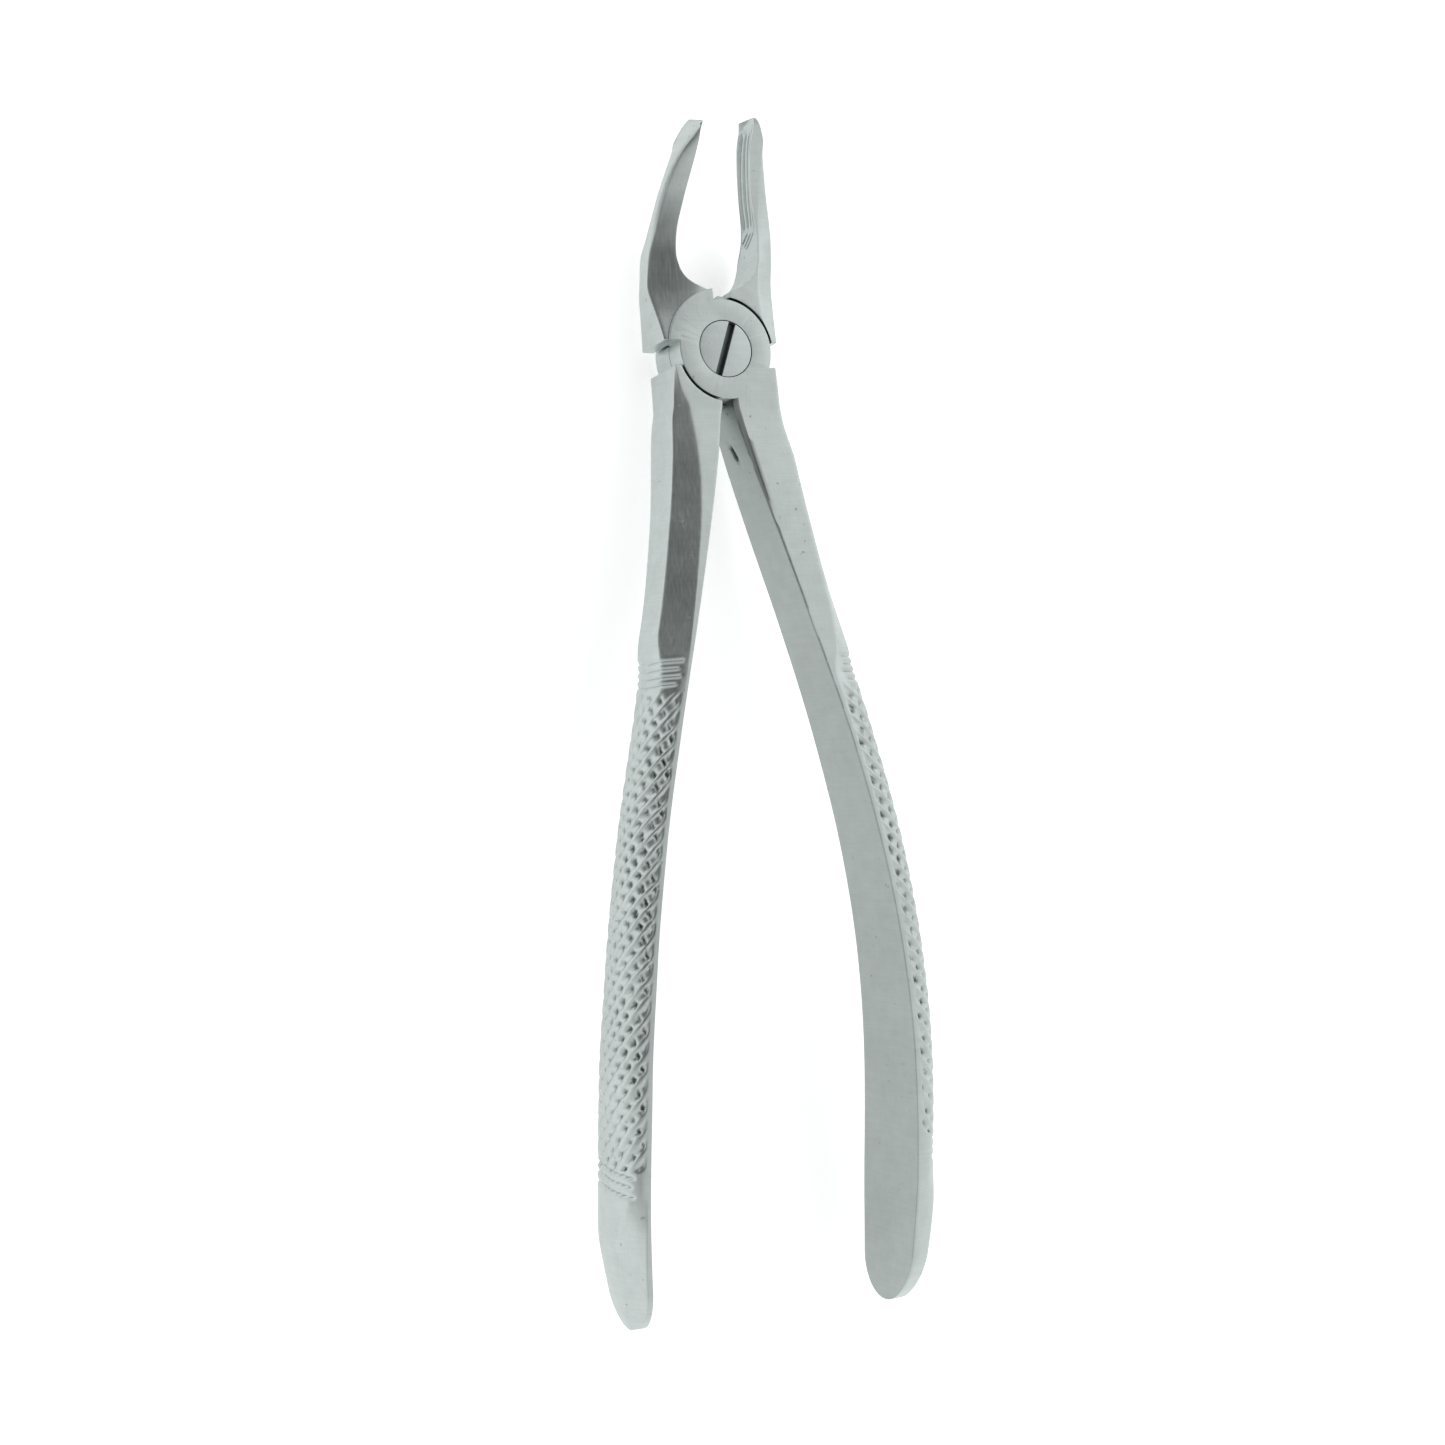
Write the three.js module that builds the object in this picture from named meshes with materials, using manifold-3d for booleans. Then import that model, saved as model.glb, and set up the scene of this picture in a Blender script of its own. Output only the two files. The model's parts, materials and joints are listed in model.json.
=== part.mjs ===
// Extraction forceps with a screwed lap joint, handles curved away from the beaks.
// Millimetres. The forceps are first built in their own frame: the pivot is the z axis,
// +y runs towards the beaks, and z = 0 is the middle of the joint. The finished tool is
// then tipped a few degrees so that it lies on a level surface.
import * as THREE from 'three';
import { mergeVertices } from 'three/addons/utils/BufferGeometryUtils.js';
import Module from 'manifold-3d';

const wasm = await Module();
wasm.setup();

// Joint
const JOINT_HALF = 4.2;          // half the thickness of the joint
const LAP_Z = 0.5;               // height of the face on which the two halves turn
const DISC_R = 7.4;              // radius of each half's turning disc
const CLEARANCE = 0.3;           // gap between pieces that turn on each other
const HANDLE_SHOULDER_Y = -2.6;  // where a handle reaches its full thickness
const BEAK_SHOULDER_Y = 1.1;     // where a beak reaches its full thickness
const FACE_R = 9.0;              // round edge of the flat face under the beaks
const HALF_GAP = 1.35;            // from the middle to a beak's root, to let the halves close
const ROUND_STEPS = 64;

// Screw
const HEAD_R = 4.15;
const HEAD_DEPTH = 2.0;
const SHANK_R = 2.3;
const SLOT_WIDTH = 1.05;
const SLOT_DEPTH = 1.1;
const SLOT_TURN_DEG = 69.5;

// Handles: each pair is [y, value]
const FRONT_HALF_END_Y = -140.6;
const REAR_HALF_END_Y = -138.9;   // this handle is ground a little shorter
const HANDLE_TIP_LENGTH = 9;     // length of the rounded end
const HANDLE_INNER_X = [
  [-2.6, 1.2], [-8, 1.25], [-16, 3.0], [-24, 5.0], [-40, 9.3], [-56, 13.6], [-72, 17.2],
  [-88, 19.7], [-104, 21.1], [-120, 21.5], [-132, 21.0], [-141, 20.2],
];
const HANDLE_FRONT_Z = [
  [-2.6, 4.2], [-8, 4.2], [-16, 4.9], [-24, 5.6], [-40, 6.5], [-56, 6.9], [-72, 6.7],
  [-88, 5.9], [-104, 4.1], [-120, 1.2], [-132, -1.6], [-141, -3.8],
];
const HANDLE_DEPTH = [
  [-2.6, 8.4], [-8, 8.5], [-16, 9.4], [-24, 10.1], [-40, 10.6], [-56, 11.5], [-72, 12.2],
  [-88, 13.1], [-104, 14.2], [-120, 14.8], [-132, 13.4], [-141, 11.6],
];
const HANDLE_THICKNESS = [
  [-2.6, 7.4], [-8, 7.6], [-16, 6.8], [-24, 6.1], [-40, 5.3], [-56, 5.4], [-72, 5.4],
  [-88, 5.3], [-104, 5.2], [-120, 4.8], [-132, 4.0], [-141, 3.0],
];
const HANDLE_TWIST_DEG = [[-2.6, 0], [-40, 0], [-88, 2.2], [-120, 3.0], [-141, 3.0]];
const FRONT_HALF_GRIP = 1.06;    // how full each grip is, as a share of the thickness above
const REAR_HALF_GRIP = 0.84;
const GRIP_ROUNDING = [[-2.6, 0], [-36, 0], [-52, 1], [-141, 1]];
const PLAIN_STRIP = [[-2.6, 7.4], [-8, 7.2], [-24, 5.2], [-40, 2.4], [-56, 1.1], [-141, 1.0]];
const WEDGE_STRIP = [[-2.6, 7.4], [-8, 4.7], [-21, 2.8], [-36, 1.5], [-56, 1.1], [-141, 1.0]];
const HANDLE_BEVEL = [[-2.6, 0.02], [-8, 0.1], [-24, 0.17], [-40, 0.2], [-141, 0.2]];

// Beaks: each pair is [y, value]
const BEAK_END_Y = 32.7;
const BEAK_TIP_LENGTH = 2.2;     // length of the rounded tip
const BEAK_INNER_X = [
  [1.1, HALF_GAP], [8.4, HALF_GAP + 0.05], [8.9, 2.6], [9.6, 4.2], [10.6, 5.5], [12, 6.4], [14, 6.75],
  [17, 6.45], [21.5, 5.4], [25, 4.6], [28, 4.1], [30, 3.9], [33, 3.88],
];
const BEAK_OUTER_X = [
  [1.1, 9.2], [6, 9.3], [10, 9.5], [14, 9.75], [17, 9.6], [21.5, 8.95], [25, 8.1],
  [28, 7.2], [30, 6.5], [33, 5.2],
];
const FRONT_HALF_BEAK_ROOT = 0.35;  // extra width of each beak's root at the joint
const REAR_HALF_BEAK_ROOT = -0.6;
const BEAK_ROOT_FADE = [[1.1, 1], [8, 1], [14, 0.3], [18, 0], [32, 0]];
const BEAK_FRONT_Z = [
  [1.1, 4.2], [9, 4.2], [14, 4.1], [17, 4.5], [21.5, 5.5], [25, 6.9], [28, 8.5], [32, 10.86], [33, 11.35],
];
const BEAK_DEPTH = [[1.1, 8.4], [9, 8.4], [14, 7.3], [17, 5.4], [21.5, 3.8], [25, 3.6], [32, 4.3]];
const BEAK_NEAR_BEVEL = [[1.1, 0.02], [6, 0.2], [11, 0.4], [14, 0.36], [21.5, 0.24], [32, 0.24]];
const BEAK_FAR_BEVEL = [[1.1, 0.02], [6, 0.1], [11, 0.24], [21.5, 0.24], [32, 0.24]];
const BEAK_ROUNDING = [[1.1, 0], [8, 0.3], [14, 0.6], [32, 0.7]];

// How the tool lies
const TIP_ANGLE_DEG = 5.6;

// Steel
const STEEL = new THREE.MeshStandardMaterial({ color: 0xb4bcba, roughness: 0.42, metalness: 1 });
const SCREW_STEEL = new THREE.MeshStandardMaterial({ color: 0xaab2b4, roughness: 0.38, metalness: 1 });

// A smooth curve through [y, value] pairs, read at any y.
function smoothCurve(pairs) {
  const sorted = [...pairs].sort((p, q) => p[0] - q[0]);
  const curve = new THREE.CubicInterpolant(sorted.map((p) => p[0]), sorted.map((p) => p[1]), 1);
  return (y) => curve.evaluate(THREE.MathUtils.clamp(y, sorted[0][0], sorted.at(-1)[0]))[0];
}

// A round end: how much of the section is left at y, from 1 down to a small last ring.
function roundEnd(y, endY, length) {
  const run = THREE.MathUtils.clamp(1 - Math.abs(endY - y) / length, 0, 1);
  return Math.max(Math.sqrt(1 - run * run), 0.12);
}

// The outline of a bar in its own plane: a is the distance outwards from the flat inner
// face, b the distance back from the front edge. The outer side runs from straight bevels
// and a flat (rounding 0) to half an ellipse (rounding 1).
function barOutline({ depth, thickness, frontStrip, rearStrip, frontBevel, rearBevel, rounding }) {
  const front = Math.min(frontStrip, thickness - 0.02);
  const rear = Math.min(rearStrip, thickness - 0.02);
  const flatFrom = frontBevel * depth;
  const flatTo = (1 - rearBevel) * depth;
  const flats = [
    [front, 0], [(front + thickness) / 2, flatFrom / 2], [thickness, flatFrom],
    [thickness, THREE.MathUtils.lerp(flatFrom, flatTo, 0.25)],
    [thickness, THREE.MathUtils.lerp(flatFrom, flatTo, 0.5)],
    [thickness, THREE.MathUtils.lerp(flatFrom, flatTo, 0.75)],
    [thickness, flatTo], [(rear + thickness) / 2, (flatTo + depth) / 2], [rear, depth],
  ];
  const outer = flats.map(([a, b], i) => {
    const turn = (Math.PI * i) / (flats.length - 1);
    const strip = THREE.MathUtils.lerp(front, rear, i / (flats.length - 1));
    const roundA = strip + (thickness - strip) * Math.sin(turn) ** 0.8;
    const roundB = (depth / 2) * (1 - Math.cos(turn));
    return [THREE.MathUtils.lerp(a, roundA, rounding), THREE.MathUtils.lerp(b, roundB, rounding)];
  });
  return [[0, 0], ...outer, [0, depth]];
}

// Places an outline at height y: x and z are its inner front corner, side is +1 or -1.
function placeOutline(outline, side, x, y, z, twist) {
  return outline.map(([a, b]) => new THREE.Vector3(
    side * (x + a * Math.cos(twist) - b * Math.sin(twist)),
    y,
    z - a * Math.sin(twist) - b * Math.cos(twist),
  ));
}

// A closed skin over a row of rings, with a fan over each end ring.
function skin(rings) {
  const count = rings[0].length;
  const points = rings.flat();
  const centre = (ring) => ring.reduce((sum, p) => sum.add(p), new THREE.Vector3()).divideScalar(count);
  const firstCentre = points.push(centre(rings[0])) - 1;
  const lastCentre = points.push(centre(rings.at(-1))) - 1;
  const index = [];
  for (let i = 0; i < count; i += 1) {
    const next = (i + 1) % count;
    for (let r = 0; r < rings.length - 1; r += 1) {
      const here = r * count;
      const above = here + count;
      index.push(here + i, here + next, above + next, here + i, above + next, above + i);
    }
    const last = (rings.length - 1) * count;
    index.push(firstCentre, next, i, lastCentre, last + i, last + next);
  }
  const geometry = new THREE.BufferGeometry().setFromPoints(points);
  geometry.setIndex(index);
  return geometry;
}

// A closed three.js geometry as a solid that can be cut and joined.
function solid(geometry) {
  const bare = geometry.clone();
  bare.deleteAttribute('normal');
  bare.deleteAttribute('uv');
  const merged = mergeVertices(bare, 1e-5);
  const vertProperties = new Float32Array(merged.attributes.position.array);
  const make = (triVerts) => new wasm.Manifold(new wasm.Mesh({ numProp: 3, vertProperties, triVerts }));
  const result = make(new Uint32Array(merged.index.array));
  if (result.volume() > 0) {
    return result;
  }
  return make(new Uint32Array(merged.index.array).reverse());
}

// A solid back as a named mesh.
function meshFrom(body, name, material) {
  const { numProp, vertProperties, triVerts } = body.getMesh();
  const geometry = new THREE.BufferGeometry();
  const positions = new Float32Array((vertProperties.length / numProp) * 3);
  for (let i = 0; i < positions.length / 3; i += 1) {
    positions.set(vertProperties.subarray(i * numProp, i * numProp + 3), i * 3);
  }
  geometry.setAttribute('position', new THREE.BufferAttribute(positions, 3));
  geometry.setIndex(new THREE.BufferAttribute(new Uint32Array(triVerts), 1));
  geometry.computeVertexNormals();
  const mesh = new THREE.Mesh(geometry, material);
  mesh.name = name;
  return mesh;
}

// An upright round block between two heights.
function roundBlock(radius, fromZ, toZ) {
  const geometry = new THREE.CylinderGeometry(radius, radius, toZ - fromZ, ROUND_STEPS);
  geometry.rotateX(Math.PI / 2);
  geometry.translate(0, 0, (fromZ + toZ) / 2);
  return solid(geometry);
}

// One handle, from its shoulder at the joint to its rounded end. wedgeInFront says which
// face carries the long wedge-shaped bevel, and fullness how thick the grip is.
function handle(side, wedgeInFront, fullness, endY) {
  const innerX = smoothCurve(HANDLE_INNER_X);
  const frontZ = smoothCurve(HANDLE_FRONT_Z);
  const depthAt = smoothCurve(HANDLE_DEPTH);
  const thicknessAt = smoothCurve(HANDLE_THICKNESS);
  const twistAt = smoothCurve(HANDLE_TWIST_DEG);
  const roundingAt = smoothCurve(GRIP_ROUNDING);
  const plainStrip = smoothCurve(PLAIN_STRIP);
  const wedgeStrip = smoothCurve(WEDGE_STRIP);
  const bevelAt = smoothCurve(HANDLE_BEVEL);
  const levels = [HANDLE_SHOULDER_Y, -5, -8, -11, -14, -18, -22, -26, -30, -34, -38, -42, -46, -50];
  for (let y = -56; y > endY + HANDLE_TIP_LENGTH; y -= 6) {
    levels.push(y);
  }
  for (let i = 0; i <= 7; i += 1) {
    levels.push(endY + HANDLE_TIP_LENGTH * (1 - Math.sin((i * Math.PI) / 14)));
  }
  const rings = levels.map((y) => {
    const left = roundEnd(y, endY, HANDLE_TIP_LENGTH);
    const depth = depthAt(y);
    const rounding = THREE.MathUtils.clamp(roundingAt(y), 0, 1);
    const full = THREE.MathUtils.lerp(1, fullness, rounding);
    const outline = barOutline({
      depth: depth * left,
      thickness: thicknessAt(y) * full * THREE.MathUtils.lerp(1, left, 0.35),
      frontStrip: wedgeInFront ? wedgeStrip(y) : plainStrip(y),
      rearStrip: wedgeInFront ? plainStrip(y) : wedgeStrip(y),
      frontBevel: bevelAt(y),
      rearBevel: bevelAt(y),
      rounding,
    });
    const z = frontZ(y) - (depth * (1 - left)) / 2;
    return placeOutline(outline, side, innerX(y), y, z, THREE.MathUtils.degToRad(twistAt(y)));
  });
  return solid(skin(rings));
}

// One beak, from its shoulder at the joint to its rounded tip. rootExtra widens its root.
function beak(side, largeBevelInFront, rootExtra) {
  const innerX = smoothCurve(BEAK_INNER_X);
  const outerX = smoothCurve(BEAK_OUTER_X);
  const rootFade = smoothCurve(BEAK_ROOT_FADE);
  const frontZ = smoothCurve(BEAK_FRONT_Z);
  const depthAt = smoothCurve(BEAK_DEPTH);
  const nearBevel = smoothCurve(BEAK_NEAR_BEVEL);
  const farBevel = smoothCurve(BEAK_FAR_BEVEL);
  const roundingAt = smoothCurve(BEAK_ROUNDING);
  const levels = [BEAK_SHOULDER_Y, 4, 6.5, 8.3, 8.6, 8.9, 9.3, 9.8, 10.4, 11, 11.7, 12.5, 13.3];
  for (let y = 14.5; y < BEAK_END_Y - BEAK_TIP_LENGTH; y += 1.6) {
    levels.push(y);
  }
  for (let i = 0; i <= 5; i += 1) {
    levels.push(BEAK_END_Y - BEAK_TIP_LENGTH * (1 - Math.sin((i * Math.PI) / 10)));
  }
  const rings = levels.map((y) => {
    const left = roundEnd(y, BEAK_END_Y, BEAK_TIP_LENGTH);
    const depth = depthAt(y) * THREE.MathUtils.lerp(1, left, 0.6);
    const outline = barOutline({
      depth,
      thickness: (outerX(y) + rootExtra * rootFade(y) - innerX(y)) * THREE.MathUtils.lerp(1, left, 0.5),
      frontStrip: 0.35,
      rearStrip: 0.35,
      frontBevel: largeBevelInFront ? nearBevel(y) : farBevel(y),
      rearBevel: largeBevelInFront ? farBevel(y) : nearBevel(y),
      rounding: THREE.MathUtils.clamp(roundingAt(y), 0, 1),
    });
    const z = frontZ(y) - (depthAt(y) - depth) / 2;
    return placeOutline(outline, side, innerX(y), y, z, 0);
  });
  return solid(skin(rings));
}

// The quarter of the joint's round face that belongs to one beak, above its shoulder.
function beakFace(side, fromZ, toZ) {
  const corner = new THREE.BoxGeometry(FACE_R, FACE_R, toZ - fromZ);
  corner.translate(side * (HALF_GAP + FACE_R / 2), BEAK_SHOULDER_Y + FACE_R / 2, (fromZ + toZ) / 2);
  return roundBlock(FACE_R, fromZ, toZ).intersect(solid(corner));
}

// The front half carries the left beak and the right handle, and the head of the screw
// sits in its disc.
function frontHalf() {
  const lap = LAP_Z + CLEARANCE / 2;
  const disc = roundBlock(DISC_R, lap, JOINT_HALF);
  const recess = roundBlock(DISC_R + CLEARANCE, -JOINT_HALF - 1, lap);
  const headHole = roundBlock(HEAD_R + CLEARANCE, JOINT_HALF - HEAD_DEPTH - CLEARANCE, JOINT_HALF + 1);
  const shankHole = roundBlock(SHANK_R + CLEARANCE, -JOINT_HALF - 1, JOINT_HALF);
  return handle(1, false, FRONT_HALF_GRIP, FRONT_HALF_END_Y)
    .add(beak(-1, true, FRONT_HALF_BEAK_ROOT))
    .add(beakFace(-1, lap, JOINT_HALF))
    .add(disc)
    .subtract(recess)
    .subtract(headHole)
    .subtract(shankHole);
}

// The rear half carries the right beak and the left handle, and the screw is fast in it.
function rearHalf() {
  const lap = LAP_Z - CLEARANCE / 2;
  const disc = roundBlock(DISC_R, -JOINT_HALF, lap);
  const recess = roundBlock(DISC_R + CLEARANCE, lap, JOINT_HALF + 1);
  const shankHole = roundBlock(SHANK_R + CLEARANCE, -JOINT_HALF - 1, JOINT_HALF);
  return handle(-1, true, REAR_HALF_GRIP, REAR_HALF_END_Y)
    .add(beak(1, false, REAR_HALF_BEAK_ROOT))
    .add(beakFace(1, -JOINT_HALF, lap))
    .add(disc)
    .subtract(recess)
    .subtract(shankHole);
}

// A flush cheese-head screw with a straight slot.
function pivotScrew() {
  const profile = [
    new THREE.Vector2(0, -JOINT_HALF),
    new THREE.Vector2(SHANK_R, -JOINT_HALF),
    new THREE.Vector2(SHANK_R, JOINT_HALF - HEAD_DEPTH),
    new THREE.Vector2(HEAD_R, JOINT_HALF - HEAD_DEPTH),
    new THREE.Vector2(HEAD_R, JOINT_HALF),
    new THREE.Vector2(0, JOINT_HALF),
  ];
  const turned = new THREE.LatheGeometry(profile, ROUND_STEPS);
  turned.rotateX(Math.PI / 2);
  const slot = new THREE.BoxGeometry(HEAD_R * 2.5, SLOT_WIDTH, SLOT_DEPTH * 2);
  slot.rotateZ(THREE.MathUtils.degToRad(SLOT_TURN_DEG));
  slot.translate(0, 0, JOINT_HALF);
  return solid(turned).subtract(solid(slot));
}

const tipped = new THREE.Group();
tipped.rotation.x = -THREE.MathUtils.degToRad(TIP_ANGLE_DEG);
tipped.add(
  meshFrom(frontHalf(), 'front_half', STEEL),
  meshFrom(rearHalf(), 'rear_half', STEEL),
  meshFrom(pivotScrew(), 'pivot_screw', SCREW_STEEL),
);

// The origin is under the middle of the tool, on the surface that it lies on.
const forceps = new THREE.Group();
forceps.name = 'extraction_forceps';
forceps.add(tipped);
const box = new THREE.Box3().setFromObject(forceps, true);
const middle = box.getCenter(new THREE.Vector3());
tipped.position.set(-middle.x, -middle.y, -box.min.z);

export default forceps;
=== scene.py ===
# %% [markdown]
# # Extraction forceps
# Two steel forgings turn on one slotted screw. Each forging is a beak, half of the joint
# and a handle in one piece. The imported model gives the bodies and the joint; this script
# makes the fine surfaces that stand for them.

# %% Load the frame
import json

import bpy
import numpy as np
from mathutils import Matrix, Vector


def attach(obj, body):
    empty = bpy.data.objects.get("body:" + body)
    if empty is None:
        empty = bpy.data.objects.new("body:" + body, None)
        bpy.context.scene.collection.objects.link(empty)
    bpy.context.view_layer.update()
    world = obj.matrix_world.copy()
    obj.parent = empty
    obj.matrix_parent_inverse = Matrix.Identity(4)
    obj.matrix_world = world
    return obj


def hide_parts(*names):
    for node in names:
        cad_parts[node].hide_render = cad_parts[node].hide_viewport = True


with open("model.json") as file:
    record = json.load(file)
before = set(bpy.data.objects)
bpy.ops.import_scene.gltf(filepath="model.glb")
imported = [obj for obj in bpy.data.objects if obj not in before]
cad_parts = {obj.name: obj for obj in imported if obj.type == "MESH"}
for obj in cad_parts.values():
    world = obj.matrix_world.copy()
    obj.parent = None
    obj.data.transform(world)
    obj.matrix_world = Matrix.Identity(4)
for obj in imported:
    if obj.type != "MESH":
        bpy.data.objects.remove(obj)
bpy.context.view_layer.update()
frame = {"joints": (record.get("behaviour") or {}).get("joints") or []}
pivot = frame["joints"][0]
PIVOT_AT = np.array(pivot["pos_m"])
PIVOT_AXIS = np.array(pivot["axis"])
print("pivot at", PIVOT_AT, "along", PIVOT_AXIS)

# %% [markdown]
# The forceps are easiest to describe standing straight: the pivot is the z axis, the
# beaks point along +y, and lengths are millimetres. The real tool lies tipped forwards,
# because its handles curve down. One function takes points from the first place to the
# second. Turning the objects instead would leave rotations that the export throws away.

# %% From the drawing to the table
MM = 0.001
TIP = float(np.arctan2(PIVOT_AXIS[1], PIVOT_AXIS[2]))


def lay_down(points):
    """Millimetres round the pivot to metres on the table: turn by -TIP about x, scale, move to the pivot."""
    x, y, z = np.moveaxis(np.asarray(points, float), -1, 0)
    turned = np.stack([x, y * np.cos(TIP) + z * np.sin(TIP), z * np.cos(TIP) - y * np.sin(TIP)], -1)
    return turned * MM + PIVOT_AT


print("the forceps tip forwards by", round(np.degrees(TIP), 2), "degrees")

# %% [markdown]
# A drawing of a forging is a list of stations: at this height the bar is this wide. A
# curve through the stations mustn't swing past them, or a flat ground face would come
# out wavy. A monotone cubic does that: its slope at a station is the harmonic mean of the
# slopes on both sides, and zero where they disagree.

# %% A curve that never overshoots


def steady_curve(pairs):
    """A function of y through (y, value) pairs: cubic pieces whose slope at a pair is the harmonic mean
    of the slopes on both sides of it."""
    y0, v0 = np.array(sorted(pairs), float).T
    step = np.diff(y0)
    slope = np.diff(v0) / step
    inner = np.zeros(len(y0))
    same = slope[:-1] * slope[1:] > 0
    inner[1:-1][same] = 2 * slope[:-1][same] * slope[1:][same] / (slope[:-1] + slope[1:])[same]
    inner[0], inner[-1] = slope[0], slope[-1]

    def read(y):
        y = np.clip(y, y0[0], y0[-1])
        k = np.clip(np.searchsorted(y0, y, side="right") - 1, 0, len(step) - 1)
        t = (y - y0[k]) / step[k]
        start = (1 + 2 * t) * (1 - t) ** 2 * v0[k] + t * (1 - t) ** 2 * step[k] * inner[k]
        return start + t * t * (3 - 2 * t) * v0[k + 1] - t * t * (1 - t) * step[k] * inner[k + 1]

    return read


def ease(value, low, high):
    """0 below low, 1 above high, and a smooth step between."""
    t = np.clip((value - low) / (high - low), 0, 1)
    return t * t * (3 - 2 * t)


# %% [markdown]
# Every part of the forging is a bar: a flat inner face, a narrow strip on each edge, and
# an outer side that is either bevelled flat or round. I draw that outline with one
# function for all heights at once, so a whole handle is a single array operation. The
# corners are then worn soft by averaging each point with its neighbours a few times,
# which is what polishing does to steel.

# %% The outline of a bar
STRIP_POINTS = 12
OUTER_POINTS = 92
SOFTEN_PASSES = 3
BEVEL_SHARE = 0.2
LEAST_RISE = 0.02
ROUND_POWER = 0.8


def bar_outline(depth, thickness, front_strip, rear_strip, front_bevel, rear_bevel, rounding, inner_points):
    """Rings of (a, b), one row per height: a outwards from the inner face, b backwards from the front edge.
    The outer side goes from bevel, flat, bevel (rounding 0) to strip + rest * sin(turn) ** 0.8 (rounding
    1)."""
    d, t, m = depth[:, None], thickness[:, None], rounding[:, None]
    front = np.minimum(front_strip[:, None], t - LEAST_RISE)
    rear = np.minimum(rear_strip[:, None], t - LEAST_RISE)
    near = (1 - np.cos(np.pi * np.arange(STRIP_POINTS) / STRIP_POINTS)) / 2
    across = np.linspace(0, 1, OUTER_POINTS)[None, :]
    first = np.clip(across / BEVEL_SHARE, 0, 1)
    last = np.clip((across - 1 + BEVEL_SHARE) / BEVEL_SHARE, 0, 1)
    flat_from, flat_to = front_bevel[:, None] * d, (1 - rear_bevel[:, None]) * d
    flat_a = front + (t - front) * first - (t - rear) * last
    middle = np.clip((across - BEVEL_SHARE) / (1 - 2 * BEVEL_SHARE), 0, 1)
    flat_b = flat_from * first + (flat_to - flat_from) * middle + (d - flat_to) * last
    strip = front + (rear - front) * across
    round_a = strip + (t - strip) * np.sin(np.pi * across) ** ROUND_POWER
    round_b = d / 2 * (1 - np.cos(np.pi * across))
    outer = np.stack([flat_a + (round_a - flat_a) * m, flat_b + (round_b - flat_b) * m], -1)
    front_side = np.stack([front * near, 0 * front * near], -1)
    rear_side = np.stack([rear * near[::-1], d + 0 * rear * near], -1)
    back = (1 + np.cos(np.pi * np.arange(1, inner_points) / inner_points)) / 2
    inner = np.stack([0 * d * back, d * back], -1)
    ring = np.concatenate([front_side, outer, rear_side, inner], 1)
    for _ in range(SOFTEN_PASSES):
        ring = ring / 2 + (np.roll(ring, 1, 1) + np.roll(ring, -1, 1)) / 4
    return ring


def outward(ring):
    """The direction out of each ring at each of its points: its tangent turned by a right angle."""
    along = np.roll(ring, -1, 1) - np.roll(ring, 1, 1)
    normal = np.stack([-along[..., 1], along[..., 0]], -1)
    normal /= np.linalg.norm(normal, axis=-1, keepdims=True) + 1e-9
    return -normal


def place(ring, side, x, y, z, twist):
    """Rings of (a, b) as points: x and z are the inner front corner, side is +1 or -1, twist turns the bar:
    x + a * cos(twist) - b * sin(twist) across, and z - a * sin(twist) - b * cos(twist) up."""
    a, b = ring[..., 0], ring[..., 1]
    c, s = np.cos(twist)[:, None], np.sin(twist)[:, None]
    px = side * (x[:, None] + a * c - b * s)
    pz = z[:, None] - a * s - b * c
    return np.stack([px, np.broadcast_to(y[:, None], px.shape), pz], -1)


# %% [markdown]
# A row of rings becomes a closed skin: quads between neighbouring rings, and a fan of
# triangles over each end. The boolean tool only works on closed skins that point
# outwards, so the signed volume is checked and the faces are turned if it is negative.

# %% Skins and solids


def signed_volume(points, faces):
    """Sum of the little tetrahedra between the origin and each triangle."""
    a, b, c = (points[faces[:, i]] for i in range(3))
    return float(np.einsum("ij,ij->i", a, np.cross(b, c)).sum() / 6)


def solid_object(name, points, faces, painted_shade=None):
    """A mesh object from points in drawing millimetres and triangles, with its faces turned outwards and, if
    it is given, one painted shade value per point."""
    if signed_volume(points, faces) < 0:
        faces = faces[:, ::-1]
    mesh = bpy.data.meshes.new(name)
    mesh.vertices.add(len(points))
    mesh.vertices.foreach_set("co", lay_down(points).astype(np.float32).ravel())
    mesh.loops.add(faces.size)
    mesh.loops.foreach_set("vertex_index", faces.ravel().astype(np.int32))
    mesh.polygons.add(len(faces))
    mesh.polygons.foreach_set("loop_start", np.arange(0, faces.size, 3, dtype=np.int32))
    mesh.update(calc_edges=True)
    if painted_shade is not None:
        mesh.attributes.new("painted_shade", "FLOAT", "POINT").data.foreach_set("value", painted_shade.astype(np.float32))
    made = bpy.data.objects.new(name, mesh)
    bpy.context.scene.collection.objects.link(made)
    return made


def skin(name, rings, painted_shade=None):
    """A closed skin over rings of equal length: two triangles per cell and a fan on each end."""
    rows, count = rings.shape[:2]
    i, r = np.meshgrid(np.arange(count), np.arange(rows - 1))
    here, beside = r * count + i, r * count + (i + 1) % count
    above, above_beside = here + count, beside + count
    cells = np.stack([here, beside, above_beside, here, above_beside, above], -1).reshape(-1, 3)
    k = np.arange(count)
    low, high = rows * count, rows * count + 1
    start = np.stack([np.full(count, low), (k + 1) % count, k], -1)
    top = (rows - 1) * count
    end = np.stack([np.full(count, high), top + k, top + (k + 1) % count], -1)
    points = np.concatenate([rings.reshape(-1, 3), rings[:1].mean(1), rings[-1:].mean(1)])
    if painted_shade is not None:
        painted_shade = np.append(painted_shade.ravel(), (0, 0))
    return solid_object(name, points, np.concatenate([cells, start, end]), painted_shade)


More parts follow.
